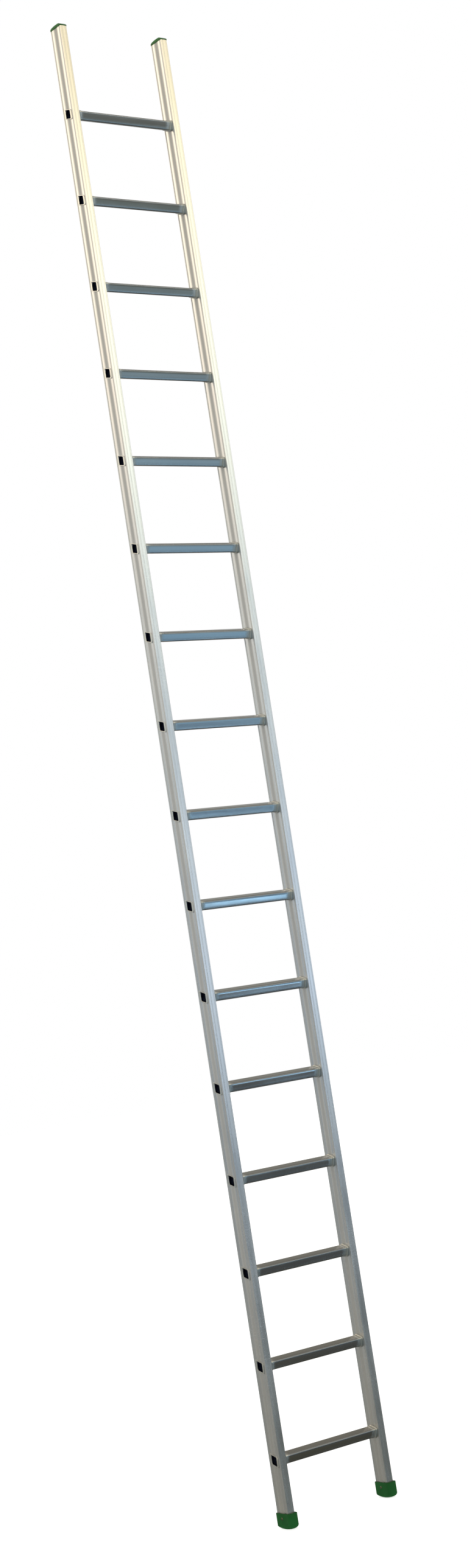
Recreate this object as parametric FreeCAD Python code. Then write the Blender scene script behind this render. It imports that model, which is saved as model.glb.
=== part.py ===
import FreeCAD, Part
import math
import os

# A single-section rung ladder for leaning against a wall.
# Frame: +X runs along the rungs, +Z up the stiles and +Y away from the climber, who stands at -Y.
# The origin is on the ground, in the middle between the two feet. All lengths are in millimetres.

# The whole ladder
rung_count = 16
rung_pitch = 280.0
first_rung_height = 204.5   # the lowest rung's centre above the ground
outer_width = 416.0         # over the outer faces of the two stiles
stile_back = 3.0            # the stiles' middle lies this far behind the middle of the feet
stile_bottom = 14.0         # the stile's lower end stands on the boot's floor
stile_top = 4686.5

# Stile: an extruded box section with a bead along each corner
stile_depth = 58.0          # along Y
stile_thickness = 25.0      # along X
corner_radius = 4.5
step_depth = 0.6            # the broad faces lie this much below the corner beads
valley_depth = 1.1          # the groove between each bead and the broad face, below the bead
valley_near = 0.9           # from the bead's end to the groove's floor
valley_far = 1.9            # to the other side of the floor
valley_end = 2.9            # to the broad face
wave_height = 0.4           # rise of the shoulders and fall of the middle channel on the broad faces
channel_half_width = 8.0
groove_offset = 5.5         # from the middle of the narrow face to its fine groove
groove_half_width = 0.6
groove_depth = 0.7
cavity_half_thickness = 10.6
cavity_half_depth = 27.2
cavity_radius = 2.0

# Rung: a square tube with rounded corners, through both walls of both stiles
rung_side = 29.0
rung_radius = 4.0
rung_wall = 1.4
rung_tilt = 20.0            # degrees, so that the treads are level when the ladder leans
hole_clearance = 0.05       # between the rung and the hole in the stile's wall
flare_growth = 3.4          # the flared lip outside the stile
flare_thickness = 1.6
flare_edge = 1.2
mouth_growth = 0.6          # how far the bore opens at the lip
mouth_length = 1.2
collar_growth = 3.0         # the collar against the stile's inner face
collar_thickness = 4.5
collar_edge = 1.5
bead_growth = 1.2           # the lower bead beside the collar
bead_gap = 2.0
bead_width = 8.5
bead_edge = 1.1

# Foot boot: a plastic cup over the stile's lower end, with a crowned rocker sole
boot_height = 48.5
boot_side_wall = 5.0
boot_depth = 69.0           # along Y, centred on the origin
boot_radius = 8.0
sole_radius = 110.0         # the rocker, seen from the side
sole_crown_radius = 26.0    # seen from the front
sole_low_point = 2.0        # Y of the middle of the flat land on the sole
land_trim = 0.6             # the land is where the ground trims this much off the rocker
sole_top = 20.0             # the sole's curve ends well below this height
socket_clearance = 0.1

# Rivets: one through each side of each boot
rivet_height = 33.0
rivet_shank_radius = 2.4
rivet_hole_radius = 2.45
rivet_head_radius = 4.5
rivet_head_height = 1.4
rivet_length = 8.5

# Top cap: a plug in the stile's upper end under a low roof, arched both ways
cap_overhang = 1.0
cap_radius = 5.5
cap_rise = 14.5             # the arch along Y
cap_end_height = 2.0        # where that arch ends, over the narrow faces
cap_cross_rise = 16.0       # the arch along X
cap_side_height = 4.5       # where that arch ends, over the broad faces
plug_length = 28.0
plug_wall = 2.2
plug_clearance = 0.1

# Worked out from the above
stile_x = (outer_width - stile_thickness) / 2
half_thickness = stile_thickness / 2
half_depth = stile_depth / 2
seat_level = half_thickness - step_depth + wave_height  # the shoulders that the lips and collars sit on
rung_heights = [first_rung_height + rung_pitch * i for i in range(rung_count)]


def vector(x, y, z):
    return FreeCAD.Vector(x, y, z)


def flat(z):
    """Places the two coordinates of a section in the horizontal plane at height z."""
    return lambda a, b: vector(a, b, z)


def upright(x):
    """Places the two coordinates of a section in the plane across the ladder at x."""
    return lambda a, b: vector(x, a, b)


def rounded_rectangle(half_a, half_b, radius, place):
    """A closed wire: four straight sides and four corner arcs."""
    edges = []
    inner_a = half_a - radius
    inner_b = half_b - radius
    diagonal = radius * math.sqrt(0.5)
    for sign_a, sign_b in ((1, 1), (-1, 1), (-1, -1), (1, -1)):
        corner_a = sign_a * inner_a
        corner_b = sign_b * inner_b
        side_end = place(sign_a * half_a, corner_b)
        middle = place(corner_a + sign_a * diagonal, corner_b + sign_b * diagonal)
        top_end = place(corner_a, sign_b * half_b)
        edges.append(Part.Arc(side_end, middle, top_end).toShape())
    for sign in (1, -1):
        edges.append(Part.makeLine(place(sign * half_a, -inner_b), place(sign * half_a, inner_b)))
        edges.append(Part.makeLine(place(-inner_a, sign * half_b), place(inner_a, sign * half_b)))
    return Part.Wire(Part.__sortEdges__(edges))


def prism(wire, direction):
    return Part.Face(wire).extrude(direction)


# ---- stiles ----

def stile_outline():
    """The stile's outer outline about its own middle, from one quarter mirrored both ways."""
    face_level = half_thickness - step_depth
    bead_end = half_depth - corner_radius
    shoulder_end = bead_end - valley_end
    valley_level = half_thickness - valley_depth
    shoulder_crest = (shoulder_end + channel_half_width) / 2
    arc_middle = corner_radius * math.sqrt(0.5)
    groove_start = groove_offset - groove_half_width
    groove_end = groove_offset + groove_half_width
    place = flat(0)

    middle_front = place(0, half_depth)
    groove_near = place(groove_start, half_depth)
    groove_floor = place(groove_offset, half_depth - groove_depth)
    groove_far = place(groove_end, half_depth)
    corner_start = place(half_thickness - corner_radius, half_depth)
    corner_mid = place(half_thickness - corner_radius + arc_middle, bead_end + arc_middle)
    corner_end = place(half_thickness, bead_end)
    valley_start = place(valley_level, bead_end - valley_near)
    valley_stop = place(valley_level, bead_end - valley_far)
    shoulder_foot = place(face_level, shoulder_end)
    crest = place(seat_level, shoulder_crest)
    channel_edge = place(face_level, channel_half_width)
    channel_floor = place(face_level - wave_height, 0)
    channel_far = place(face_level, -channel_half_width)

    quarter = [
        Part.makeLine(middle_front, groove_near),
        Part.makeLine(groove_near, groove_floor),
        Part.makeLine(groove_floor, groove_far),
        Part.makeLine(groove_far, corner_start),
        Part.Arc(corner_start, corner_mid, corner_end).toShape(),
        Part.makeLine(corner_end, valley_start),
        Part.makeLine(valley_start, valley_stop),
        Part.makeLine(valley_stop, shoulder_foot),
        Part.Arc(shoulder_foot, crest, channel_edge).toShape(),
    ]
    edges = []
    for edge in quarter:
        across = edge.mirror(vector(0, 0, 0), vector(1, 0, 0))
        edges += [edge, across]
        edges += [part.mirror(vector(0, 0, 0), vector(0, 1, 0)) for part in (edge, across)]
    channel = Part.Arc(channel_edge, channel_floor, channel_far).toShape()
    edges += [channel, channel.mirror(vector(0, 0, 0), vector(1, 0, 0))]
    return Part.Wire(Part.__sortEdges__(edges))


def rung_section(growth, x, height):
    """The rung's tilted square section at x, larger all round by growth."""
    half = rung_side / 2 + growth
    wire = rounded_rectangle(half, half, rung_radius + growth, upright(x))
    wire.translate(vector(0, stile_back, height))
    wire.rotate(vector(0, stile_back, height), vector(1, 0, 0), rung_tilt)
    return wire


def make_stile(side):
    """The left stile has side -1 and the right one has side 1."""
    length = stile_top - stile_bottom
    body = prism(stile_outline(), vector(0, 0, length))
    cavity = rounded_rectangle(cavity_half_thickness, cavity_half_depth, cavity_radius, flat(0))
    body = body.cut(prism(cavity, vector(0, 0, length)))
    body.translate(vector(side * stile_x, stile_back, stile_bottom))
    start = side * stile_x - stile_thickness
    holes = []
    for height in rung_heights:
        section = rung_section(hole_clearance, start, height)
        holes.append(prism(section, vector(2 * stile_thickness, 0, 0)))
    return body.cut(Part.makeCompound(holes + rivet_holes(side)))


# ---- rungs ----

def rung_band(growth, start, end, height, edge_radius, rounded_ends):
    """A ring-shaped swelling of the rung between two x values, with the named ends' edges rounded."""
    band = prism(rung_section(growth, start, height), vector(end - start, 0, 0))
    edges = []
    for edge in band.Edges:
        box = edge.BoundBox
        if box.XLength < 1e-6 and any(abs(box.XMin - x) < 1e-6 for x in rounded_ends):
            edges.append(edge)
    return band.makeFillet(edge_radius, edges)


def make_rung(height):
    lip_seat = stile_x + seat_level
    lip_end = lip_seat + flare_thickness
    collar_seat = stile_x - seat_level
    collar_start = collar_seat - collar_thickness
    bead_end = collar_start - bead_gap
    bead_start = bead_end - bead_width

    rung = prism(rung_section(0, -lip_end, height), vector(2 * lip_end, 0, 0))
    bore = prism(rung_section(-rung_wall, -lip_end, height), vector(2 * lip_end, 0, 0))
    for side in (-1, 1):
        bands = [
            rung_band(flare_growth, side * lip_seat, side * lip_end, height, flare_edge, [side * lip_end]),
            rung_band(collar_growth, side * collar_start, side * collar_seat, height, collar_edge,
                      [side * collar_start]),
            rung_band(bead_growth, side * bead_start, side * bead_end, height, bead_edge,
                      [side * bead_start, side * bead_end]),
        ]
        rung = rung.fuse(bands)
        throat = rung_section(-rung_wall, side * (lip_end - mouth_length), height)
        mouth = rung_section(mouth_growth - rung_wall, side * lip_end, height)
        bore = bore.fuse(Part.makeLoft([throat, mouth], True, True))
    return rung.cut(bore)


# ---- feet ----

def make_sole_barrel():
    """A barrel lying along Y, whose underside is the sole: crowned across, and a rocker lengthwise."""
    axis_z = sole_crown_radius - land_trim
    reach = boot_depth
    sag = sole_radius - math.sqrt(sole_radius**2 - reach**2)
    front = vector(0, sole_low_point - reach, sag - land_trim)
    lowest = vector(0, sole_low_point, -land_trim)
    back = vector(0, sole_low_point + reach, sag - land_trim)
    axis_front = vector(0, front.y, axis_z)
    axis_back = vector(0, back.y, axis_z)
    half = Part.Wire([
        Part.Arc(front, lowest, back).toShape(),
        Part.makeLine(back, axis_back),
        Part.makeLine(axis_back, axis_front),
        Part.makeLine(axis_front, front),
    ])
    return Part.Face(half).revolve(axis_front, vector(0, 1, 0), 360)


def make_boot(side):
    plan = rounded_rectangle(half_thickness + boot_side_wall, boot_depth / 2, boot_radius, flat(0))
    sole = prism(plan, vector(0, 0, sole_top)).common(make_sole_barrel())
    walls = prism(plan, vector(0, 0, boot_height - sole_top))
    walls.translate(vector(0, 0, sole_top))
    boot = sole.fuse(walls).removeSplitter()
    socket = rounded_rectangle(half_thickness + socket_clearance, half_depth + socket_clearance,
                               corner_radius + socket_clearance, flat(stile_bottom))
    hollow = prism(socket, vector(0, 0, boot_height))
    hollow.translate(vector(0, stile_back, 0))
    boot = boot.cut(hollow)
    boot.translate(vector(side * stile_x, 0, 0))
    return boot.cut(Part.makeCompound(rivet_holes(side)))


def rivet_holes(side):
    """Two short cylinders for cutting the rivet holes through one boot and its stile."""
    length = rivet_length + boot_side_wall
    holes = []
    for face in (-1, 1):
        start = vector(side * stile_x + face * (half_thickness + boot_side_wall), stile_back, rivet_height)
        holes.append(Part.makeCylinder(rivet_hole_radius, length, start, vector(-face, 0, 0)))
    return holes


def make_rivets(side):
    """A domed head on the boot's side and a shank through the boot and the stile's wall, twice."""
    dome_radius = (rivet_head_radius**2 + rivet_head_height**2) / (2 * rivet_head_height)
    dome_centre = rivet_head_height - dome_radius
    half_angle = math.asin(rivet_head_radius / dome_radius) / 2
    rivets = []
    for face in (-1, 1):
        seat_x = side * stile_x + face * (half_thickness + boot_side_wall)

        def point(outward, radius):
            return vector(seat_x + face * outward, stile_back, rivet_height + radius)

        tail = point(-rivet_length, 0)
        shank_end = point(-rivet_length, rivet_shank_radius)
        neck = point(0, rivet_shank_radius)
        rim = point(0, rivet_head_radius)
        crown = point(dome_centre + dome_radius * math.cos(half_angle), dome_radius * math.sin(half_angle))
        top = point(rivet_head_height, 0)
        outline = Part.Wire([
            Part.makeLine(tail, shank_end),
            Part.makeLine(shank_end, neck),
            Part.makeLine(neck, rim),
            Part.Arc(rim, crown, top).toShape(),
            Part.makeLine(top, tail),
        ])
        rivets.append(Part.Face(outline).revolve(tail, vector(1, 0, 0), 360))
    return Part.makeCompound(rivets)


# ---- top caps ----

def make_arch(half_span, end_height, rise, half_length, place):
    """A solid under an arc that spans the first coordinate, as long as the second one allows."""
    start = place(-half_span, -half_length, end_height)
    crown = place(0, -half_length, rise)
    end = place(half_span, -half_length, end_height)
    end_foot = place(half_span, -half_length, 0)
    start_foot = place(-half_span, -half_length, 0)
    outline = Part.Wire([
        Part.Arc(start, crown, end).toShape(),
        Part.makeLine(end, end_foot),
        Part.makeLine(end_foot, start_foot),
        Part.makeLine(start_foot, start),
    ])
    return prism(outline, place(0, 2 * half_length, 0))


def make_cap(side):
    """A low roof that overhangs the stile's end a little, on a hollow plug that fills its cavity."""
    roof_half_thickness = half_thickness + cap_overhang
    roof_half_depth = half_depth + cap_overhang
    plan = rounded_rectangle(roof_half_thickness, roof_half_depth, cap_radius, flat(0))
    lengthwise = make_arch(roof_half_depth, cap_end_height, cap_rise, 2 * roof_half_thickness,
                           lambda across, along, z: vector(along, across, z))
    crosswise = make_arch(roof_half_thickness, cap_side_height, cap_cross_rise, 2 * roof_half_depth, vector)
    roof = prism(plan, vector(0, 0, cap_cross_rise)).common(lengthwise).common(crosswise)

    outer_thickness = cavity_half_thickness - plug_clearance
    outer_depth = cavity_half_depth - plug_clearance
    plug = prism(rounded_rectangle(outer_thickness, outer_depth, cavity_radius, flat(-plug_length)),
                 vector(0, 0, plug_length))
    hollow = prism(rounded_rectangle(outer_thickness - plug_wall, outer_depth - plug_wall,
                                     cavity_radius / 2, flat(-plug_length)),
                   vector(0, 0, plug_length - plug_wall))
    cap = roof.fuse(plug.cut(hollow))
    cap.translate(vector(side * stile_x, stile_back, stile_top))
    return cap


# ---- the assembly ----

nodes = {}
for name, side in (("left", -1), ("right", 1)):
    nodes[name + "_stile"] = make_stile(side)
    nodes[name + "_top_cap"] = make_cap(side)
    nodes[name + "_foot_boot"] = make_boot(side)
    nodes[name + "_foot_rivets"] = make_rivets(side)
for index, height in enumerate(rung_heights, start=1):
    nodes["rung_%02d" % index] = make_rung(height)

os.makedirs("parts", exist_ok=True)
for name, shape in sorted(nodes.items()):
    shape.exportStep("parts/" + name + ".step")
    print(name, "solids", len(shape.Solids), "valid", shape.isValid(), "volume", round(shape.Volume))
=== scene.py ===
import bmesh
import bpy
import math
from mathutils import Matrix, Vector


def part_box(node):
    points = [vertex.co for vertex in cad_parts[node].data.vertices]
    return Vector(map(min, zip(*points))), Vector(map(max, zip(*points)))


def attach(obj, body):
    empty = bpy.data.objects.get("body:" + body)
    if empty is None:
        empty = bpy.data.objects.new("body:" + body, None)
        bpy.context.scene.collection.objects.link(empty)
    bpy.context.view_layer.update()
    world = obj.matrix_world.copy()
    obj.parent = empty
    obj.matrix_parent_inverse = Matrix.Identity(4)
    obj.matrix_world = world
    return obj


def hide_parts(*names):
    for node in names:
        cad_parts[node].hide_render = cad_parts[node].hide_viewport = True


# A leaning rung ladder. Lengths are in metres, in the frame of the CAD model: +X along the rungs,
# +Z up the stiles, and the climber at -Y.

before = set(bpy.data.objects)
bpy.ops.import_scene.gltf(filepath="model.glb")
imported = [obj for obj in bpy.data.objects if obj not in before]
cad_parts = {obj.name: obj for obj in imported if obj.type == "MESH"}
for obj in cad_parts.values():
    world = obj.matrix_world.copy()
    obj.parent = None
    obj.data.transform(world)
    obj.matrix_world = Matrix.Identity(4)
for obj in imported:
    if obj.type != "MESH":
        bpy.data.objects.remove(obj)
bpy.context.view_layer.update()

MM = 0.001
SIDES = (("left", -1), ("right", 1))
RUNGS = sorted(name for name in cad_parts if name.startswith("rung_"))

# Places read from the frame
stile_low, stile_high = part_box("right_stile")
STILE_X = (stile_low.x + stile_high.x) / 2
STILE_Y = (stile_low.y + stile_high.y) / 2
HALF_THICKNESS = (stile_high.x - stile_low.x) / 2
HALF_DEPTH = (stile_high.y - stile_low.y) / 2
STILE_BOTTOM = stile_low.z
STILE_TOP = stile_high.z
boot_low, boot_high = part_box("right_foot_boot")
BOOT_HALF_WIDTH = (boot_high.x - boot_low.x) / 2
BOOT_HALF_DEPTH = (boot_high.y - boot_low.y) / 2
BOOT_TOP = boot_high.z
cap_low, cap_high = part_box("right_top_cap")
CAP_HALF_WIDTH = (cap_high.x - cap_low.x) / 2
CAP_HALF_DEPTH = (cap_high.y - cap_low.y) / 2
CAP_TOP = cap_high.z
LIP_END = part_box("rung_01")[1].x
RUNG_HEIGHTS = [sum(corner.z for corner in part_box(name)) / 2 for name in RUNGS]
RUNG_PITCH = RUNG_HEIGHTS[1] - RUNG_HEIGHTS[0]

# The stile's section
CORNER_RADIUS = 4.5 * MM
STEP_DEPTH = 0.6 * MM
VALLEY_WIDTH = 2.9 * MM
VALLEY_DIP = 0.8 * MM
WAVE_HEIGHT = 0.4 * MM
CHANNEL_HALF_WIDTH = 8 * MM
GROOVE_OFFSET = 5.5 * MM
GROOVE_HALF_WIDTH = 0.6 * MM
GROOVE_DEPTH = 0.7 * MM
CAVITY_HALF_THICKNESS = 10.6 * MM
CAVITY_HALF_DEPTH = 27.2 * MM
SEAT_LEVEL = HALF_THICKNESS - STEP_DEPTH + WAVE_HEIGHT

# The rung's tilted square section, and the lips, collars and beads that grow out of it. The lip's outline
# and the mouth in it are upright, with a top and bottom that lean
RUNG_HALF = 14.5 * MM
RUNG_RADIUS = 4 * MM
RUNG_WALL = 1.4 * MM
RUNG_TILT = math.radians(20)
HOLE_CLEARANCE = 0.05 * MM
HOLE_ZONE = 30 * MM
FLARE_GROWTH = 3.4 * MM
MOUTH_GROWTH = 0.6 * MM
MOUTH_LENGTH = 1.2 * MM
LIP_LEAN = math.tan(math.radians(17))
MOUTH_HALF_WIDTH = 11.8 * MM
MOUTH_HALF_HEIGHT = 13.9 * MM
MOUTH_RADIUS = 3 * MM
LIP_HALF_WIDTH = 18.8 * MM
LIP_HALF_HEIGHT = 16.6 * MM
LIP_RADIUS = 6 * MM
LIP_SEAT = STILE_X + SEAT_LEVEL
LIP_HEIGHT = LIP_END - LIP_SEAT
COLLAR_GROWTH = 3 * MM
COLLAR_THICKNESS = 4.5 * MM
BEAD_GROWTH = 1.2 * MM
BEAD_GAP = 2 * MM
BEAD_WIDTH = 8.5 * MM
BEAD_FOOT = 0.6 * MM
BEAD_RISE = 2.2 * MM
BEAD_FALL = 1.6 * MM
COLLAR_RISE = 2 * MM
TUBE_STATIONS = (0.0, 0.05, 0.10, 0.14)
BORE_STATIONS = (0.15, 0.08, 0.0)

# Feet, rivets and caps
BOOT_RADIUS = 8 * MM
SOLE_RADIUS = 110 * MM
SOLE_CROWN_RADIUS = 26 * MM
SOLE_LOW_POINT = 2 * MM
LAND_TRIM = 0.6 * MM
SOLE_FILLET = 2 * MM
SOLE_WALL_START = 20 * MM
BOOT_BRIM = 1 * MM
BOOT_WALL_END = 12 * MM
SOCKET_CLEARANCE = 0.1 * MM
RIVET_HEIGHT = 33 * MM
RIVET_HEAD_RADIUS = 4.5 * MM
RIVET_HEAD_HEIGHT = 1.4 * MM
RIVET_SHANK_RADIUS = 2.4 * MM
RIVET_LENGTH = 8.5 * MM
RIVET_DIMPLE = [(0.0, 0.5 * MM), (0.9 * MM, 0.5 * MM), (1.2 * MM, 0.9 * MM)]
RIVET_DIMPLE_EDGE = 1.5 * MM
RIVET_STEPS = 32
CAP_RADIUS = 5.5 * MM
CAP_END_HEIGHT = 2 * MM
CAP_CROSS_RISE = 16 * MM
CAP_SIDE_HEIGHT = 4.5 * MM
CAP_RIDGE_BLEND = 1.5 * MM
PLUG_LENGTH = 28 * MM
PLUG_WALL = 2.2 * MM
PLUG_CLEARANCE = 0.1 * MM
PLUG_RADIUS = 1 * MM
PLUG_LEAD_IN = 0.6 * MM
PLUG_LEAD_LENGTH = 3 * MM
CAP_EDGE_RADIUS = 1.2 * MM
CAP_EAVE_RADIUS = 0.4 * MM
CAP_LEAST_HEIGHT = 0.3 * MM


# ---- mesh helpers ----

def smoothstep(t):
    t = min(max(t, 0.0), 1.0)
    return t * t * (3 - 2 * t)


def between(start, end, part):
    return start + (end - start) * part


def new_object(name, verts, faces, material, smooth_angle=35):
    mesh = bpy.data.meshes.new(name)
    mesh.from_pydata(verts, [], faces)
    mesh.validate()
    mesh.update()
    obj = bpy.data.objects.new(name, mesh)
    bpy.context.scene.collection.objects.link(obj)
    mesh.materials.append(material)
    smooth(obj, smooth_angle)
    return obj


def smooth(obj, angle):
    """Smooth shading, with edges sharper than the angle left sharp."""
    obj.data.shade_smooth()
    obj.data.set_sharp_from_angle(angle=math.radians(angle))


def finish_piece(obj, node):
    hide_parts(node)
    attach(obj, "root")


def loft(rings, closed=False):
    """Joins rings of equally many points. Closed joins the last ring to the first."""
    count = len(rings[0])
    verts = [point for ring in rings for point in ring]
    faces = []
    spans = len(rings) if closed else len(rings) - 1
    for i in range(spans):
        a = i * count
        b = (i + 1) % len(rings) * count
        for j in range(count):
            k = (j + 1) % count
            faces.append((a + j, a + k, b + k, b + j))
    return verts, faces


def rounded_loop(half_a, half_b, radius, corner_steps=8, side_steps=4):
    """Points round a rounded rectangle, anticlockwise, as (a, b) pairs."""
    points = []
    corners = ((1, 1, 0), (-1, 1, 90), (-1, -1, 180), (1, -1, 270))
    for i, (sign_a, sign_b, start) in enumerate(corners):
        centre_a = sign_a * (half_a - radius)
        centre_b = sign_b * (half_b - radius)
        for step in range(corner_steps + 1):
            angle = math.radians(start + 90 * step / corner_steps)
            points.append((centre_a + radius * math.cos(angle), centre_b + radius * math.sin(angle)))
        next_a, next_b, next_start = corners[(i + 1) % 4]
        target_angle = math.radians(next_start)
        target = (next_a * (half_a - radius) + radius * math.cos(target_angle),
                  next_b * (half_b - radius) + radius * math.sin(target_angle))
        last = points[-1]
        for step in range(1, side_steps):
            points.append(tuple(between(*ends, step / side_steps) for ends in zip(last, target)))
    return points


def drawn_in(a, b, inset):
    """A point of a plan, moved towards its middle by inset."""
    length = math.hypot(a, b)
    return a * (1 - inset / length), b * (1 - inset / length)


# ---- materials ----

# Painted highlight and shade, with an added roughness, across half of the broad face, from the channel's
# middle to the corner, across half of the narrow face, and up the rung's side: (place, tone, added
# roughness). The tone column is painted light: highlight on shoulders and corners, shade in channel, valleys,
# grooves and the rung's lower and upper edges
BROAD_BANDS = [
    (0.00, 0.86, 0.50), (0.22, 0.87, 0.48), (0.36, 0.95, 0.16), (0.51, 1.00, 0.00), (0.64, 0.97, 0.06),
    (0.74, 0.80, 0.38), (0.80, 0.80, 0.38), (0.88, 0.97, 0.04), (1.00, 1.00, 0.00),
]
NARROW_BANDS = [
    (0.00, 0.98, 0.02), (0.25, 0.97, 0.02), (0.42, 0.92, 0.07), (0.58, 0.88, 0.10), (0.72, 0.99, 0.01),
    (1.00, 1.00, 0.00),
]
RUNG_BANDS = [
    (0.00, 0.90, 0.14), (0.24, 0.92, 0.12), (0.42, 1.00, 0.01), (0.80, 1.00, 0.00), (1.00, 0.90, 0.03),
]

# Other tones and roughness of the metal: a tone, an added roughness, and where they start and are complete.
# The scuffs are wear and the beads, collars and lips lighter and beige; the corner, bore and mouth tones are
# painted light
MARK_TONE = (0.93, 0.93, 0.93)
MARK_DULL = 0.12
FORMED_FROM = 158 * MM
FORMED_TO = 174 * MM
FORMED_TONE = (1.06, 1.04, 0.97)
FORMED_DULL = 0.34
LIP_TONE = (1.00, 0.98, 0.92)
LIP_DULL = 0.14
# Painted shade: the rung's rounded corners darkened so they show no highlight
CORNER_PAINTED_SHADE = (0.52, 0.51, 0.49)
EDGE_DULL = 0.36
EDGE_FADE = 1.5 * MM
# Painted reflection: the inside of the bore tinted blue, standing in for the bluish light seen deep in it
BORE_PAINTED_REFLECTION = (0.42, 0.50, 0.76)
BORE_FADE = 0.6 * MM
# Painted shade: the inside of the mouth, from the stile's middle out to the lip, is near black
MOUTH_PAINTED_SHADE = (0.08, 0.10, 0.16)
MOUTH_MARGIN = 0.3 * MM
MOUTH_SHALLOW = 0.5 * MM
MOUTH_DEEP = 1.5 * MM


# The sockets of a mix node that mixes colours: the factor and both colours, and the result
MIX_INPUTS = (0, 6, 7)
MIX_OUTPUT = 2


class Nodes:
    """A short way to write a node tree. The patterns follow one kind of texture coordinates."""

    def __init__(self, tree, coordinates):
        self.tree = tree
        self.coords = self.add("ShaderNodeTexCoord").outputs[coordinates]

    def add(self, kind, **settings):
        node = self.tree.nodes.new(kind)
        for key, value in settings.items():
            setattr(node, key, value)
        return node

    def link(self, source, target):
        self.tree.links.new(source, target)

    def stretched(self, scale):
        mapping = self.add("ShaderNodeMapping")
        mapping.inputs["Scale"].default_value = scale
        self.link(self.coords, mapping.inputs["Vector"])
        return mapping.outputs["Vector"]

    def noise(self, scale, vector=None, detail=4.0, rough=0.5):
        node = self.add("ShaderNodeTexNoise")
        node.inputs["Scale"].default_value = scale
        node.inputs["Detail"].default_value = detail
        node.inputs["Roughness"].default_value = rough
        self.link(vector or self.coords, node.inputs["Vector"])
        return node.outputs["Fac"]

    def ramp(self, factor, stops, interpolation="LINEAR"):
        node = self.add("ShaderNodeValToRGB")
        node.color_ramp.interpolation = interpolation
        fill_ramp(node.color_ramp, stops)
        self.link(factor, node.inputs["Fac"])
        return node.outputs["Color"]

    def map_range(self, value, low, high, to_low, to_high):
        node = self.add("ShaderNodeMapRange")
        limits = {"From Min": low, "From Max": high, "To Min": to_low, "To Max": to_high}
        for socket, limit in limits.items():
            node.inputs[socket].default_value = limit
        self.link(value, node.inputs["Value"])
        return node.outputs["Result"]

    def band_ramp(self, factor, bands, column):
        """A smooth grey ramp of one column of a table of bands."""
        return self.ramp(factor, [(band[0], (band[column],) * 3) for band in bands], "B_SPLINE")

    def math(self, operation, a, b=0.0):
        node = self.add("ShaderNodeMath", operation=operation)
        for socket, value in zip(node.inputs, (a, b)):
            if isinstance(value, (int, float)):
                socket.default_value = value
            else:
                self.link(value, socket)
        return node.outputs["Value"]

    def mix(self, factor, a, b, blend="MIX"):
        node = self.add("ShaderNodeMix", data_type="RGBA", blend_type=blend)
        for index, value in zip(MIX_INPUTS, (factor, a, b)):
            socket = node.inputs[index]
            if isinstance(value, (int, float)):
                socket.default_value = value
            elif isinstance(value, tuple):
                socket.default_value = (*value, 1.0)
            else:
                self.link(value, socket)
        return node.outputs[MIX_OUTPUT]

    def bump(self, height, distance, strength=1.0, after=None):
        node = self.add("ShaderNodeBump")
        node.inputs["Strength"].default_value = strength
        node.inputs["Distance"].default_value = distance
        self.link(height, node.inputs["Height"])
        if after is not None:
            self.link(after, node.inputs["Normal"])
        return node.outputs["Normal"]

    def separate(self, vector):
        node = self.add("ShaderNodeSeparateXYZ")
        self.link(vector, node.inputs[0])
        return node.outputs


class MaterialNodes(Nodes):
    """The nodes of a new material."""

    def __init__(self, name):
        self.material = bpy.data.materials.new(name)
        self.material.use_nodes = True
        super().__init__(self.material.node_tree, "Object")
        self.bsdf = self.tree.nodes["Principled BSDF"]


def fill_ramp(color_ramp, stops):
    """Stops are (position, (red, green, blue)) pairs."""
    while len(color_ramp.elements) > 1:
        color_ramp.elements.remove(color_ramp.elements[-1])
    for i, (position, colour) in enumerate(stops):
        element = color_ramp.elements[0] if i == 0 else color_ramp.elements.new(position)
        element.position = position
        element.color = (*colour, 1.0)


def axis_scale(axis, along, across):
    """How often a pattern changes in a metre, along the axis and across it."""
    scale = [across] * 3
    scale[axis] = along
    return scale


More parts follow.
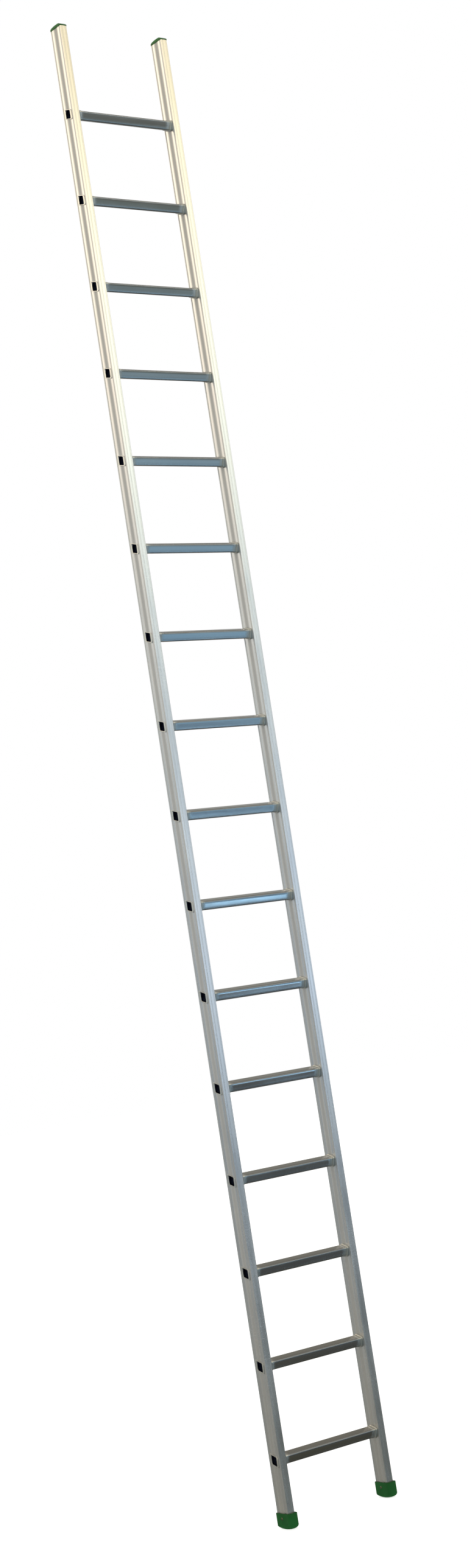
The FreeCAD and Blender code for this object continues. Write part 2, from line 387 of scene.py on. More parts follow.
def aluminium(name, lengthwise, tones, roughness, painted_tone_and_roughness=None):
    """Extruded mill-finish aluminium. Lengthwise is the extrusion's axis, 0 for X or 2 for Z.

    Tones are the colours by height; on the stiles and rungs they are a painted reflection, warm and pale high
    up and browner low down. The last argument adds a tone that is painted light and a roughness, which differ
    across the section.
    """
    n = MaterialNodes(name)
    die_lines = n.noise(1.0, n.stretched(axis_scale(lengthwise, 0.5, 420.0)), detail=2.0, rough=0.55)
    streaks = n.noise(1.0, n.stretched(axis_scale(lengthwise, 1.6, 90.0)), detail=4.0, rough=0.6)
    smudges = n.noise(1.0, n.stretched(axis_scale(lengthwise, 5.0, 22.0)), detail=5.0, rough=0.62)
    scuffs = n.noise(1.0, n.stretched(axis_scale(lengthwise, 1500.0, 60.0)), detail=1.0)
    worn = n.noise(7.0, detail=2.0)
    specks = n.noise(420.0, detail=2.0)

    # The colour by height: on the stiles and rungs a painted reflection, warm and pale high up and browner
    # low down
    height = n.separate(n.coords)[2]
    colour = n.ramp(n.map_range(height, 0.0, CAP_TOP, 0.0, 1.0), tones, "B_SPLINE")
    for factor, low, dark, high, light in (
        (smudges, 0.30, (0.88, 0.89, 0.90), 0.72, (1.0, 1.0, 0.99)),
        (streaks, 0.30, (0.91, 0.91, 0.92), 0.70, (1.0, 1.0, 1.0)),
        (die_lines, 0.30, (0.94, 0.94, 0.94), 0.70, (1.0, 1.0, 1.0)),
    ):
        colour = n.mix(1.0, colour, n.ramp(factor, [(low, dark), (high, light)]), "MULTIPLY")
    rough = n.math("ADD", n.map_range(smudges, 0.3, 0.7, roughness - 0.03, roughness + 0.05),
                   n.map_range(streaks, 0.3, 0.7, -0.02, 0.02))
    # The tone across the section is painted light; the added roughness is the surface's own
    if painted_tone_and_roughness is not None:
        tone, added_roughness = painted_tone_and_roughness(n)
        colour = n.mix(1.0, colour, tone, "MULTIPLY")
        rough = n.math("ADD", rough, added_roughness)
    marks = n.math("MULTIPLY", n.map_range(scuffs, 0.66, 0.74, 0.0, 1.0),
                   n.map_range(worn, 0.52, 0.66, 0.0, 0.7))
    colour = n.mix(marks, colour, MARK_TONE)
    rough = n.math("ADD", rough, n.math("MULTIPLY", marks, MARK_DULL))
    n.link(colour, n.bsdf.inputs["Base Color"])
    n.link(rough, n.bsdf.inputs["Roughness"])
    n.bsdf.inputs["Metallic"].default_value = 1.0
    lines_bump = n.bump(die_lines, 0.00001, 0.5)
    n.link(n.bump(specks, 0.00001, 0.3, lines_bump), n.bsdf.inputs["Normal"])
    return n.material


def stile_painted_sheen_and_roughness(n):
    """The proud shoulders and corners are rubbed smoother and the channel and grooves stay dull. The tone is
    painted light: a painted highlight on the shoulders and corners, painted shade in the channel, grooves and
    valleys.
    """
    x, y, _ = n.separate(n.coords)
    along_depth = n.math("ABSOLUTE", n.math("SUBTRACT", y, STILE_Y))
    along_thickness = n.math("ABSOLUTE", n.math("SUBTRACT", n.math("ABSOLUTE", x), STILE_X))
    broad = n.map_range(along_depth, 0.0, HALF_DEPTH, 0.0, 1.0)
    narrow = n.map_range(along_thickness, 0.0, HALF_THICKNESS, 0.0, 1.0)
    on_narrow = n.map_range(along_depth, HALF_DEPTH - 0.8 * MM, HALF_DEPTH - 0.1 * MM, 0.0, 1.0)
    return [n.mix(on_narrow, n.band_ramp(broad, BROAD_BANDS, column),
                  n.band_ramp(narrow, NARROW_BANDS, column)) for column in (1, 2)]


def rung_painted_light_and_roughness(n):
    """Dull where the tube was formed and low on its sides. The tone is partly painted light: painted shade
    low and high on the sides and on the rounded corners, a darker blue painted reflection inside the bore and
    near-black painted shade inside the mouth; the beads, collars and lips are lighter and beige.
    """
    x, y, z = n.separate(n.coords)
    reach = n.math("ABSOLUTE", x)
    depth = n.math("SUBTRACT", y, STILE_Y)
    turns = n.math("DIVIDE", n.math("SUBTRACT", z, RUNG_HEIGHTS[0]), RUNG_PITCH)
    level = n.math("MULTIPLY", n.math("SUBTRACT", turns, n.math("ROUND", turns)), RUNG_PITCH)
    upward = n.math("SUBTRACT", n.math("MULTIPLY", level, math.cos(RUNG_TILT)),
                    n.math("MULTIPLY", depth, math.sin(RUNG_TILT)))
    outward = n.math("ADD", n.math("MULTIPLY", level, math.sin(RUNG_TILT)),
                     n.math("MULTIPLY", depth, math.cos(RUNG_TILT)))
    from_middle = (n.math("ABSOLUTE", upward), n.math("ABSOLUTE", outward))

    place = n.map_range(upward, -RUNG_HALF, RUNG_HALF, 0.0, 1.0)
    corner = RUNG_HALF - RUNG_RADIUS
    edge = n.map_range(n.math("MINIMUM", *from_middle), corner, corner + EDGE_FADE, 0.0, 1.0)
    formed = n.map_range(reach, FORMED_FROM, FORMED_TO, 0.0, 1.0)
    lip = n.map_range(reach, STILE_X, LIP_SEAT, 0.0, 1.0)
    # The tone: painted shade low and high on the sides from the bands and on the rounded corners; the beads,
    # collars and lips lighter and beige
    tone = n.mix(edge, n.band_ramp(place, RUNG_BANDS, 1), CORNER_PAINTED_SHADE)
    tone = n.mix(formed, tone, n.mix(lip, FORMED_TONE, LIP_TONE))
    dull = n.mix(edge, n.band_ramp(place, RUNG_BANDS, 2), (EDGE_DULL,) * 3)
    dull = n.mix(formed, dull, n.map_range(reach, STILE_X, LIP_SEAT, FORMED_DULL, LIP_DULL))

    # Painted light inside: the bore is tinted blue as a painted reflection and the mouth made near black as
    # painted shade
    bore_half = RUNG_HALF - RUNG_WALL
    bore = n.map_range(n.math("MAXIMUM", *from_middle), bore_half, bore_half + BORE_FADE, 1.0, 0.0)
    beside = n.math("SUBTRACT", n.math("ABSOLUTE", depth), MOUTH_HALF_WIDTH)
    leaning_level = n.math("SUBTRACT", level, n.math("MULTIPLY", depth, LIP_LEAN))
    above = n.math("SUBTRACT", n.math("ABSOLUTE", leaning_level), MOUTH_HALF_HEIGHT)
    mouth = n.map_range(n.math("MAXIMUM", beside, above), MOUTH_MARGIN, MOUTH_MARGIN + BORE_FADE, 1.0, 0.0)
    hollow = n.math("MAXIMUM", bore, n.math("MULTIPLY", mouth, lip))
    sunk = n.map_range(reach, LIP_END - MOUTH_DEEP, LIP_END - MOUTH_SHALLOW, 1.0, 0.0)
    inside = n.math("MULTIPLY", hollow, sunk)
    return n.mix(inside, tone, n.mix(lip, BORE_PAINTED_REFLECTION, MOUTH_PAINTED_SHADE)), dull


def moulded_plastic(name, deep, pale, roughness):
    """Satin moulded plastic with a fine grain and rubbed, dusty patches. On the caps light and shade are
    painted: paler towards the crowns, darker at the rim.
    """
    n = MaterialNodes(name)
    grain = n.noise(900.0, detail=3.0, rough=0.6)
    dust = n.noise(70.0, detail=6.0, rough=0.65)
    cloud = n.noise(22.0, detail=3.0)
    colour = n.ramp(cloud, [(0.30, deep), (0.72, pale)])
    # Painted light and shade on the caps: darker at the rim, lighter towards the crown; the boots, below the
    # caps, take the rim's darker tone throughout
    lift = n.map_range(n.separate(n.coords)[2], STILE_TOP + 2 * MM, CAP_TOP - 2 * MM, 0.0, 1.0)
    cap_painted_light_and_shade = n.ramp(lift, [(0.0, (0.65, 0.65, 0.65)), (1.0, (1.8, 1.6, 1.7))])
    colour = n.mix(1.0, colour, cap_painted_light_and_shade, "MULTIPLY")
    dusted = n.ramp(dust, [(0.52, (1.0, 1.0, 1.0)), (0.80, (1.25, 1.18, 1.2))])
    n.link(n.mix(1.0, colour, dusted, "MULTIPLY"), n.bsdf.inputs["Base Color"])
    n.link(n.map_range(dust, 0.3, 0.75, roughness - 0.06, roughness + 0.12), n.bsdf.inputs["Roughness"])
    n.bsdf.inputs["Specular IOR Level"].default_value = 0.18
    soft = n.bump(cloud, 0.0004, 0.4)
    n.link(n.bump(grain, 0.00006, 0.45, soft), n.bsdf.inputs["Normal"])
    return n.material


# The stiles' tones by height are a painted reflection: warm cream near the top, cool and pale in the middle,
# browner grey low down
STILE_METAL = aluminium("stile_metal", 2, [
    (0.00, (0.70, 0.68, 0.63)), (0.14, (0.79, 0.79, 0.78)), (0.30, (0.84, 0.86, 0.88)),
    (0.55, (0.85, 0.87, 0.89)), (0.75, (0.88, 0.87, 0.84)), (1.00, (0.91, 0.89, 0.84)),
], 0.17, stile_painted_sheen_and_roughness)
# The rungs' tones by height are a painted reflection too, browner and darker low down
RUNG_METAL = aluminium("rung_metal", 0, [
    (0.00, (0.76, 0.74, 0.70)), (0.35, (0.80, 0.81, 0.81)), (1.00, (0.80, 0.80, 0.78)),
], 0.08, rung_painted_light_and_roughness)
CAP_PLASTIC = moulded_plastic("cap_plastic", (0.034, 0.130, 0.034), (0.060, 0.180, 0.052), 0.45)
BOOT_PLASTIC = moulded_plastic("boot_plastic", (0.003, 0.095, 0.012), (0.007, 0.130, 0.020), 0.52)
RIVET_TONE = (0.17, 0.18, 0.11)
RIVET_METAL = aluminium("rivet_metal", 2, [(0.0, RIVET_TONE), (1.0, RIVET_TONE)], 0.55)


# ---- stiles ----

def stile_quarter():
    """From the middle of the narrow face round the corner to the middle of the broad face."""
    points = [(0.0, HALF_DEPTH)]
    for step in range(7):
        t = step / 6
        dip = GROOVE_DEPTH * (0.5 - 0.5 * math.cos(2 * math.pi * t))
        points.append((GROOVE_OFFSET + GROOVE_HALF_WIDTH * (2 * t - 1), HALF_DEPTH - dip))
    for step in range(11):
        angle = math.radians(90 - 90 * step / 10)
        points.append((HALF_THICKNESS - CORNER_RADIUS + CORNER_RADIUS * math.cos(angle),
                       HALF_DEPTH - CORNER_RADIUS + CORNER_RADIUS * math.sin(angle)))
    bead_end = HALF_DEPTH - CORNER_RADIUS
    steps = 48
    for step in range(1, steps + 1):
        v = bead_end * (1 - step / steps)
        points.append((broad_level(v), v))
    return points


def broad_level(v):
    """How far the broad face stands from the section's middle, at v from the middle of its width."""
    bead_end = HALF_DEPTH - CORNER_RADIUS
    shoulder_end = bead_end - VALLEY_WIDTH
    face_level = HALF_THICKNESS - STEP_DEPTH
    if v > shoulder_end:
        t = (v - shoulder_end) / VALLEY_WIDTH
        return face_level + STEP_DEPTH * smoothstep(t) - VALLEY_DIP * math.sin(math.pi * t) ** 2
    if v > CHANNEL_HALF_WIDTH:
        t = (v - CHANNEL_HALF_WIDTH) / (shoulder_end - CHANNEL_HALF_WIDTH)
        return face_level + WAVE_HEIGHT * math.sin(math.pi * t)
    return face_level - WAVE_HEIGHT * math.cos(math.pi * v / (2 * CHANNEL_HALF_WIDTH))


def stile_outline():
    quarter = stile_quarter()
    right = quarter + [(u, -v) for u, v in reversed(quarter[:-1])]
    left = [(-u, v) for u, v in reversed(right[1:-1])]
    return right + left


def cavity_point(u, v):
    """The cavity wall, straight inwards from a point of the outline."""
    reach = max(abs(u) / CAVITY_HALF_THICKNESS, abs(v) / CAVITY_HALF_DEPTH)
    return u / reach, v / reach


def tilted_section(growth):
    """The rung's tilted square section, larger all round by growth, as (y, z) pairs."""
    half = RUNG_HALF + growth
    cosine, sine = math.cos(RUNG_TILT), math.sin(RUNG_TILT)
    loop = rounded_loop(half, half, max(RUNG_RADIUS + growth, 0.4 * MM))
    return [(a * cosine - b * sine, a * sine + b * cosine) for a, b in loop]


def lip_section(growth):
    """The lip's leaning section, between the mouth's outline and the lip's outer one."""
    part = (growth + RUNG_WALL) / (FLARE_GROWTH + RUNG_WALL)
    loop = rounded_loop(between(MOUTH_HALF_WIDTH, LIP_HALF_WIDTH, part),
                        between(MOUTH_HALF_HEIGHT, LIP_HALF_HEIGHT, part),
                        between(MOUTH_RADIUS, LIP_RADIUS, part))
    return [(a, a * LIP_LEAN + b) for a, b in loop]


def rung_ring(x, height, growth, lip_part=0.0):
    """A ring round the rung at x. lip_part goes from 0 for the tube's section to 1 for the lip's."""
    return [(x, STILE_Y + between(tube_y, lip_y, lip_part), height + between(tube_z, lip_z, lip_part))
            for (tube_y, tube_z), (lip_y, lip_z) in zip(tilted_section(growth), lip_section(growth))]


def make_stile(name, side):
    outline = stile_outline()
    levels = [STILE_BOTTOM]
    for height in RUNG_HEIGHTS:
        levels += [height - RUNG_PITCH / 2, height - HOLE_ZONE, height + HOLE_ZONE]
    levels += [STILE_TOP - RUNG_PITCH / 2, STILE_TOP]
    levels = sorted(level for level in levels if STILE_BOTTOM <= level <= STILE_TOP)
    centre_x = side * STILE_X
    outer = [[(centre_x + u, STILE_Y + v, z) for u, v in outline] for z in levels]
    cavity = [cavity_point(u, v) for u, v in outline]
    inner = [[(centre_x + u, STILE_Y + v, z) for u, v in cavity] for z in reversed(levels)]
    verts, faces = loft(outer + inner, closed=True)
    stile = new_object(name, verts, faces, STILE_METAL)
    cut_rung_holes(stile, centre_x)
    smooth(stile, 32)
    return stile


def cut_rung_holes(stile, centre_x):
    verts = []
    faces = []
    reach = 2 * HALF_THICKNESS
    for height in RUNG_HEIGHTS:
        rings = [rung_ring(centre_x + end * reach, height, HOLE_CLEARANCE) for end in (-1, 1)]
        ring_verts, ring_faces = loft(rings)
        count = len(rings[0])
        ring_faces.append(tuple(reversed(range(count))))
        ring_faces.append(tuple(range(count, 2 * count)))
        start = len(verts)
        verts += ring_verts
        faces += [tuple(start + i for i in face) for face in ring_faces]
    cutter = new_object("cutter", verts, faces, STILE_METAL)
    for obj in (stile, cutter):
        fix_normals(obj)
    modifier = stile.modifiers.new("holes", "BOOLEAN")
    modifier.operation = "DIFFERENCE"
    modifier.solver = "EXACT"
    modifier.object = cutter
    bake_modifiers(stile)
    bpy.data.objects.remove(cutter)


def fix_normals(obj):
    mesh = bmesh.new()
    mesh.from_mesh(obj.data)
    bmesh.ops.recalc_face_normals(mesh, faces=mesh.faces)
    mesh.to_mesh(obj.data)
    mesh.free()


def bake_modifiers(obj):
    """Replaces the object's mesh by the result of its modifiers."""
    bpy.context.view_layer.update()
    evaluated = obj.evaluated_get(bpy.context.evaluated_depsgraph_get())
    mesh = bpy.data.meshes.new_from_object(evaluated)
    obj.modifiers.clear()
    obj.data = mesh


for name, side in SIDES:
    finish_piece(make_stile(name + "_stile_metal", side), name + "_stile")


# ---- rungs ----

def rise(start, end, low, high, steps=5):
    """Stations between two x values whose growth follows a quarter circle from low to high."""
    stations = []
    for step in range(steps + 1):
        angle = math.pi / 2 * step / steps
        stations.append((start + (end - start) * (1 - math.cos(angle)), low + (high - low) * math.sin(angle)))
    return stations


def rung_stations():
    """Half of the rung's long section, from its middle to the lip and back down the bore.

    Each station is (x, growth), with a part of the lip's section where it has one.
    """
    collar_seat = STILE_X - SEAT_LEVEL
    collar_start = collar_seat - COLLAR_THICKNESS
    bead_end = collar_start - BEAD_GAP
    bead_start = bead_end - BEAD_WIDTH
    stations = [(x, 0.0) for x in (*TUBE_STATIONS, bead_start - 1.5 * MM)]
    stations += rise(bead_start - BEAD_FOOT, bead_start + BEAD_RISE, 0.0, BEAD_GROWTH)
    stations += reversed(rise(bead_end, bead_end - BEAD_FALL, 0.15 * MM, BEAD_GROWTH))
    stations += [(bead_end + 0.8 * MM, 0.05 * MM), (collar_start - 0.2 * MM, 0.05 * MM)]
    stations += rise(collar_start, collar_start + COLLAR_RISE, 0.3 * MM, COLLAR_GROWTH, 6)
    stations += [(collar_seat - 0.7 * MM, COLLAR_GROWTH), (collar_seat - 0.2 * MM, COLLAR_GROWTH - 0.15 * MM),
                 (collar_seat, COLLAR_GROWTH - 0.5 * MM), (collar_seat, 0.2 * MM), (collar_seat, 0.0),
                 (LIP_SEAT, 0.0), (LIP_SEAT, 0.2 * MM), (LIP_SEAT, FLARE_GROWTH - 0.5 * MM, 1.0)]
    for step in range(9):
        angle = math.radians(-60 + 150 * step / 8)
        stations.append((LIP_SEAT + LIP_HEIGHT * (0.5 + 0.5 * math.sin(angle)),
                         FLARE_GROWTH - LIP_HEIGHT * 0.5 * (1 - math.cos(angle)) - 0.02 * MM, 1.0))
    for step in range(7):
        angle = math.pi / 2 * step / 6
        stations.append((LIP_END - MOUTH_LENGTH * (1 - math.cos(angle)),
                         MOUTH_GROWTH * (1 - math.sin(angle)) - RUNG_WALL, 1.0))
    for step in range(1, 7):
        blend = step / 6
        stations.append((between(LIP_END - MOUTH_LENGTH, LIP_SEAT, blend), -RUNG_WALL, 1 - smoothstep(blend)))
    stations += [(x, -RUNG_WALL) for x in (LIP_SEAT - 1 * MM, *BORE_STATIONS)]
    return stations


def make_rung(name, height):
    half = rung_stations()
    right = [rung_ring(x, height, *section) for x, *section in half]
    left = [rung_ring(-x, height, *section) for x, *section in reversed(half[1:-1])]
    verts, faces = loft(right + left, closed=True)
    rung = new_object(name, verts, faces, RUNG_METAL, 40)
    fix_normals(rung)
    smooth(rung, 40)
    return rung


for node, height in zip(RUNGS, RUNG_HEIGHTS):
    finish_piece(make_rung(node + "_metal", height), node)


# ---- top caps ----

def arch(offset, half_span, end_height, rise):
    """The height of an arc that spans twice half_span, at offset from its middle."""
    sagitta = rise - end_height
    radius = (half_span ** 2 + sagitta ** 2) / (2 * sagitta)
    return rise - radius + math.sqrt(radius ** 2 - min(abs(offset), half_span) ** 2)


def roof_height(x, y):
    """The lower of the cap's two arches, with the ridge between them rounded."""
    lengthwise = arch(y, CAP_HALF_DEPTH, CAP_END_HEIGHT, CAP_TOP - STILE_TOP)
    crosswise = arch(x, CAP_HALF_WIDTH, CAP_SIDE_HEIGHT, CAP_CROSS_RISE)
    gap = max(CAP_RIDGE_BLEND - abs(lengthwise - crosswise), 0.0)
    return min(lengthwise, crosswise) - gap ** 2 / (4 * CAP_RIDGE_BLEND)


def make_cap(name, side):
    plan = rounded_loop(CAP_HALF_WIDTH, CAP_HALF_DEPTH, CAP_RADIUS, 10, 10)
    centre_x = side * STILE_X

    def roof_ring(inset, drop):
        points = []
        for a, b in plan:
            x, y = drawn_in(a, b, inset)
            height = max(roof_height(x, y) - drop, CAP_LEAST_HEIGHT)
            points.append((centre_x + x, STILE_Y + y, STILE_TOP + height))
        return points

    def eave_ring(inset, lift):
        return [(centre_x + x, STILE_Y + y, STILE_TOP + lift)
                for x, y in (drawn_in(a, b, inset) for a, b in plan)]

    def plug_ring(inset, z):
        loop = rounded_loop(CAVITY_HALF_THICKNESS - PLUG_CLEARANCE - inset,
                            CAVITY_HALF_DEPTH - PLUG_CLEARANCE - inset, PLUG_RADIUS, 10, 10)
        return [(centre_x + a, STILE_Y + b, z) for a, b in loop]

    plug_end = STILE_TOP - PLUG_LENGTH
    eave, edge = CAP_EAVE_RADIUS, CAP_EDGE_RADIUS
    rings = [plug_ring(PLUG_WALL, STILE_TOP - PLUG_WALL), plug_ring(PLUG_WALL, plug_end),
             plug_ring(PLUG_LEAD_IN, plug_end), plug_ring(0.0, plug_end + PLUG_LEAD_LENGTH),
             plug_ring(0.0, STILE_TOP), eave_ring(eave, 0.0), eave_ring(eave / 4, eave / 4),
             eave_ring(0.0, eave)]
    for step in range(6):
        angle = math.pi / 2 * step / 5
        rings.append(roof_ring(edge * (1 - math.cos(angle)), edge * (1 - math.sin(angle))))
    for step in range(1, 16):
        shrink = step / 16
        points = []
        for a, b in plan:
            x, y = drawn_in(a, b, edge)
            x *= 1 - shrink
            y *= 1 - shrink
            points.append((centre_x + x, STILE_Y + y, STILE_TOP + roof_height(x, y)))
        rings.append(points)
    verts, faces = loft(rings)
    count = len(plan)
    verts.append((centre_x, STILE_Y, STILE_TOP + roof_height(0.0, 0.0)))
    top = len(verts) - 1
    last = (len(rings) - 1) * count
    faces += [(last + j, last + (j + 1) % count, top) for j in range(count)]
    faces.append(tuple(reversed(range(count))))
    cap = new_object(name, verts, faces, CAP_PLASTIC)
    fix_normals(cap)
    smooth(cap, 50)
    return cap


for name, side in SIDES:
    finish_piece(make_cap(name + "_cap_dome", side), name + "_top_cap")


# ---- foot boots ----

def sole_height(x, y):
    """The crowned rocker sole, with a flat land where it meets the ground."""
    along = SOLE_RADIUS - math.sqrt(SOLE_RADIUS ** 2 - (y - SOLE_LOW_POINT) ** 2)
    barrel = SOLE_CROWN_RADIUS - along
    across = SOLE_CROWN_RADIUS - math.sqrt(barrel ** 2 - x ** 2)
    return max(across - LAND_TRIM, 0.0)


def make_boot(name, side):
    plan = rounded_loop(BOOT_HALF_WIDTH, BOOT_HALF_DEPTH, BOOT_RADIUS, 10, 12)
    centre_x = side * STILE_X

    def wall_ring(inset, z):
        return [(centre_x + x, y, z) for x, y in (drawn_in(a, b, inset) for a, b in plan)]

    def sole_ring(inset, lift):
        points = []
        for a, b in plan:
            x, y = drawn_in(a, b, inset)
            points.append((centre_x + x, y, sole_height(x, y) + lift))
        return points

    def socket_ring(inset, z):
        loop = rounded_loop(HALF_THICKNESS + inset, HALF_DEPTH + inset, CORNER_RADIUS + inset, 10, 12)
        return [(centre_x + a, STILE_Y + b, z) for a, b in loop]

    count = len(plan)
    brim, fillet = BOOT_BRIM, SOLE_FILLET
    rings = [socket_ring(SOCKET_CLEARANCE, STILE_BOTTOM), socket_ring(SOCKET_CLEARANCE, BOOT_TOP - brim),
             socket_ring(0.4 * brim, BOOT_TOP - 0.25 * brim), socket_ring(0.9 * brim, BOOT_TOP),
             wall_ring(brim, BOOT_TOP), wall_ring(0.3 * brim, BOOT_TOP - 0.3 * brim),
             wall_ring(0.0, BOOT_TOP - 1.2 * brim), wall_ring(0.0, BOOT_TOP - BOOT_WALL_END),
             wall_ring(0.0, SOLE_WALL_START)]
    for step in range(7):
        angle = math.pi / 2 * step / 6
        rings.append(sole_ring(fillet * (1 - math.cos(angle)), fillet * (1 - math.sin(angle))))
    for step in range(1, 14):
        shrink = step / 14
        points = []
        for a, b in plan:
            x, y = drawn_in(a, b, fillet)
            x *= 1 - shrink
            y = SOLE_LOW_POINT * shrink + y * (1 - shrink)
            points.append((centre_x + x, y, sole_height(x, y)))
        rings.append(points)
    verts, faces = loft(rings)
    verts.append((centre_x, SOLE_LOW_POINT, 0.0))
    bottom = len(verts) - 1
    last = (len(rings) - 1) * count
    faces += [(last + j, last + (j + 1) % count, bottom) for j in range(count)]
    faces.append(tuple(reversed(range(count))))
    boot = new_object(name, verts, faces, BOOT_PLASTIC)
    fix_normals(boot)
    smooth(boot, 50)
    return boot


for name, side in SIDES:
    finish_piece(make_boot(name + "_boot_cup", side), name + "_foot_boot")


# ---- rivets ----

def rivet_profile():
    """(radius, outward) from the crown's dimple to the shank's tail."""
    dome = (RIVET_HEAD_RADIUS ** 2 + RIVET_HEAD_HEIGHT ** 2) / (2 * RIVET_HEAD_HEIGHT)
    profile = list(RIVET_DIMPLE)
    for step in range(9):
        radius = between(RIVET_DIMPLE_EDGE, RIVET_HEAD_RADIUS, step / 8)
        profile.append((radius, math.sqrt(dome ** 2 - radius ** 2) - dome + RIVET_HEAD_HEIGHT))
    profile += [(RIVET_SHANK_RADIUS, 0.0), (RIVET_SHANK_RADIUS, -RIVET_LENGTH), (0.0, -RIVET_LENGTH)]
    return profile


def make_rivets(name, side):
    verts = []
    faces = []
    angles = [2 * math.pi * step / RIVET_STEPS for step in range(RIVET_STEPS)]
    for face in (-1, 1):
        seat_x = side * STILE_X + face * BOOT_HALF_WIDTH
        rings = [[(seat_x + face * outward, STILE_Y + radius * math.cos(angle),
                   RIVET_HEIGHT + radius * math.sin(angle)) for angle in angles]
                 for radius, outward in rivet_profile()]
        ring_verts, ring_faces = loft(rings[1:-1])
        ring_faces.append(tuple(range(RIVET_STEPS)))
        ring_faces.append(tuple(reversed(range(len(ring_verts) - RIVET_STEPS, len(ring_verts)))))
        start = len(verts)
        verts += ring_verts
        faces += [tuple(start + i for i in f) for f in ring_faces]
    rivets = new_object(name, verts, faces, RIVET_METAL)
    fix_normals(rivets)
    smooth(rivets, 40)
    return rivets


for name, side in SIDES:
    finish_piece(make_rivets(name + "_rivet_pair", side), name + "_foot_rivets")


# ---- floor, light and camera ----

CAMERA_PLACE = Vector((-4.679, -6.113, 1.5635))
CAMERA_AZIMUTH = math.radians(37.65)
CAMERA_ELEVATION = math.radians(5.06)
CAMERA_ROLL = math.radians(-8.83)
CAMERA_LENS_MM = 56.89
CAMERA_SENSOR_MM = 36.0
CAMERA_CLIP_END = 200.0
FLOOR_HALF = 30.0
FLOOR_GLOW = 0.72
SIDE_BLEND = 0.3
DEPTH_BLEND = 0.35

# Colour of the surroundings by the upward part of the direction. The broad faces mirror the left sector
# behind the ladder, the rungs' upper faces mirror the right one, and the narrow faces and the rungs'
# front faces mirror the sector before it
SKY_BEHIND_LEFT = [
    (-1.00, (0.20, 0.20, 0.18)), (-0.30, (0.30, 0.30, 0.28)), (-0.19, (0.33, 0.33, 0.30)),
    (-0.14, (0.40, 0.40, 0.37)), (-0.07, (0.31, 0.34, 0.35)), (0.04, (0.49, 0.53, 0.55)),
    (0.12, (0.57, 0.60, 0.58)), (0.19, (0.82, 0.82, 0.76)), (0.26, (1.55, 1.36, 1.14)),
    (0.38, (1.90, 1.67, 1.36)), (0.50, (0.50, 0.47, 0.42)), (0.80, (0.30, 0.30, 0.30)),
    (1.00, (1.20, 1.20, 1.18)),
]
SKY_BEHIND_RIGHT = [
    (-1.00, (0.15, 0.15, 0.14)), (-0.20, (0.24, 0.24, 0.23)), (0.10, (0.28, 0.29, 0.28)),
    (0.30, (0.25, 0.26, 0.25)), (0.40, (0.40, 0.40, 0.38)), (0.46, (0.36, 0.36, 0.33)),
    (0.55, (0.27, 0.26, 0.23)), (0.64, (0.21, 0.20, 0.17)), (0.80, (0.22, 0.22, 0.22)),
    (1.00, (1.20, 1.20, 1.18)),
]
SKY_BEFORE = [
    (-1.00, (0.06, 0.06, 0.05)), (-0.64, (0.070, 0.070, 0.054)), (-0.59, (0.075, 0.080, 0.084)),
    (-0.56, (0.082, 0.092, 0.094)), (-0.53, (0.10, 0.11, 0.115)), (-0.498, (0.15, 0.155, 0.16)),
    (-0.48, (1.00, 1.70, 2.35)), (-0.465, (0.13, 0.20, 0.28)), (-0.42, (0.19, 0.28, 0.36)),
    (-0.39, (0.26, 0.44, 0.60)), (-0.33, (0.26, 0.37, 0.45)), (-0.29, (0.21, 0.27, 0.30)),
    (-0.24, (0.15, 0.175, 0.16)), (-0.21, (0.145, 0.148, 0.137)), (-0.14, (0.19, 0.21, 0.21)),
    (-0.10, (0.15, 0.175, 0.19)), (-0.07, (0.18, 0.21, 0.23)), (-0.02, (0.64, 0.76, 0.86)),
    (0.02, (1.34, 1.52, 1.76)), (0.05, (0.55, 0.64, 0.73)), (0.12, (0.47, 0.52, 0.55)),
    (0.17, (0.80, 0.88, 0.90)), (0.24, (1.65, 1.72, 1.55)), (0.33, (1.85, 1.71, 1.25)),
    (0.38, (1.18, 0.98, 0.64)), (0.50, (0.45, 0.43, 0.38)), (0.80, (0.25, 0.25, 0.25)),
    (1.00, (1.20, 1.20, 1.18)),
]


def make_camera():
    forward = Vector((math.sin(CAMERA_AZIMUTH) * math.cos(CAMERA_ELEVATION),
                      math.cos(CAMERA_AZIMUTH) * math.cos(CAMERA_ELEVATION), math.sin(CAMERA_ELEVATION)))
    level = Vector((math.cos(CAMERA_AZIMUTH), -math.sin(CAMERA_AZIMUTH), 0.0))
    upward = level.cross(forward)
    right = math.cos(CAMERA_ROLL) * level + math.sin(CAMERA_ROLL) * upward
    up = math.cos(CAMERA_ROLL) * upward - math.sin(CAMERA_ROLL) * level
    data = bpy.data.cameras.new("camera")
    data.lens = CAMERA_LENS_MM
    data.sensor_width = CAMERA_SENSOR_MM
    data.clip_end = CAMERA_CLIP_END
    camera = bpy.data.objects.new("camera", data)
    turn = Matrix((right, up, -forward)).transposed().to_4x4()
    camera.matrix_world = Matrix.Translation(CAMERA_PLACE) @ turn
    bpy.context.scene.collection.objects.link(camera)
    bpy.context.scene.camera = camera


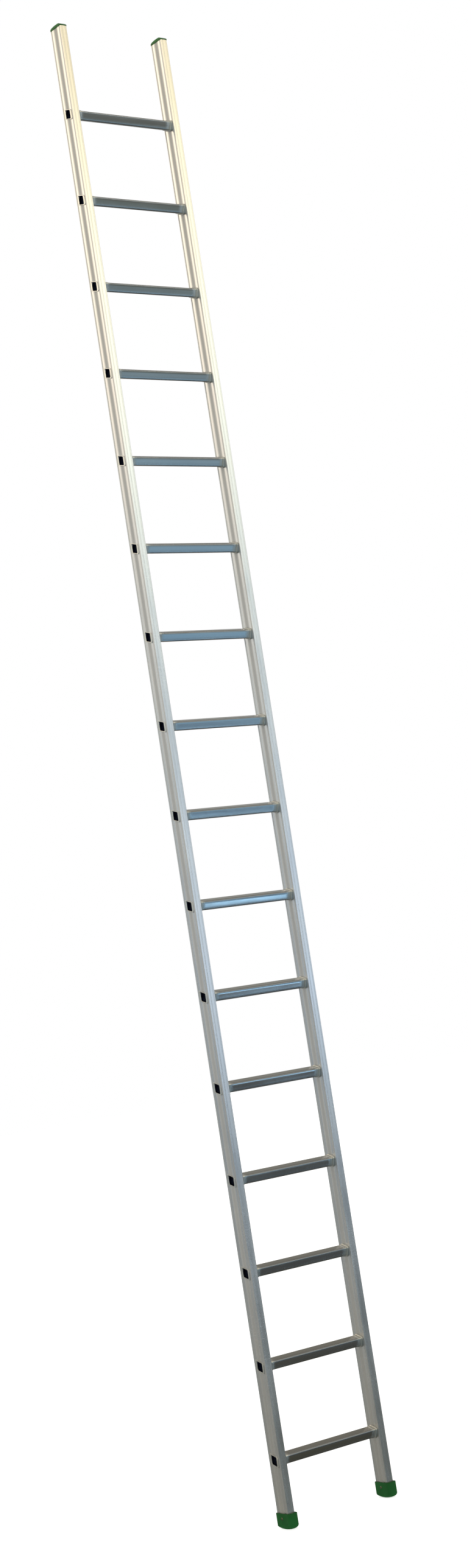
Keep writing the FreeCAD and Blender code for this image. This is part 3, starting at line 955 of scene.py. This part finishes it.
def make_floor():
    half = FLOOR_HALF
    n = MaterialNodes("floor_plain")
    mottle = n.ramp(n.noise(0.4), [(0.3, (0.88, 0.89, 0.91)), (0.7, (0.90, 0.91, 0.93))])
    n.link(mottle, n.bsdf.inputs["Base Color"])
    n.bsdf.inputs["Roughness"].default_value = 0.9
    n.bsdf.inputs["Specular IOR Level"].default_value = 0.0
    n.bsdf.inputs["Emission Color"].default_value = (1.0, 1.0, 1.0, 1.0)
    n.bsdf.inputs["Emission Strength"].default_value = FLOOR_GLOW
    floor = new_object("floor", [(-half, -half, 0), (half, -half, 0), (half, half, 0), (-half, half, 0)],
                       [(0, 1, 2, 3)], n.material)
    floor.visible_glossy = False


def make_world():
    """A soft studio whose tone changes with the height of the direction, in three sectors."""
    world = bpy.data.worlds.new("studio")
    bpy.context.scene.world = world
    world.use_nodes = True
    world.node_tree.nodes.clear()
    n = Nodes(world.node_tree, "Generated")
    across, away, rise = n.separate(n.coords)
    height = n.map_range(rise, -1.0, 1.0, 0.0, 1.0)

    def sky_ramp(stops):
        return n.ramp(height, [((z + 1) / 2, colour) for z, colour in stops])

    behind = n.mix(n.map_range(across, -SIDE_BLEND, SIDE_BLEND, 0.0, 1.0),
                   sky_ramp(SKY_BEHIND_LEFT), sky_ramp(SKY_BEHIND_RIGHT))
    sky = n.mix(n.map_range(away, -DEPTH_BLEND, DEPTH_BLEND, 0.0, 1.0), sky_ramp(SKY_BEFORE), behind)
    light = n.add("ShaderNodeBackground")
    n.link(sky, light.inputs["Color"])
    plain = n.add("ShaderNodeBackground")
    plain.inputs["Color"].default_value = (1.0, 1.0, 1.0, 1.0)
    seen = n.add("ShaderNodeLightPath").outputs["Is Camera Ray"]
    choose = n.add("ShaderNodeMixShader")
    for socket, source in zip(choose.inputs, (seen, light.outputs[0], plain.outputs[0])):
        n.link(source, socket)
    n.link(choose.outputs[0], n.add("ShaderNodeOutputWorld").inputs["Surface"])


make_camera()
make_floor()
make_world()
bpy.context.scene.view_settings.view_transform = "Standard"
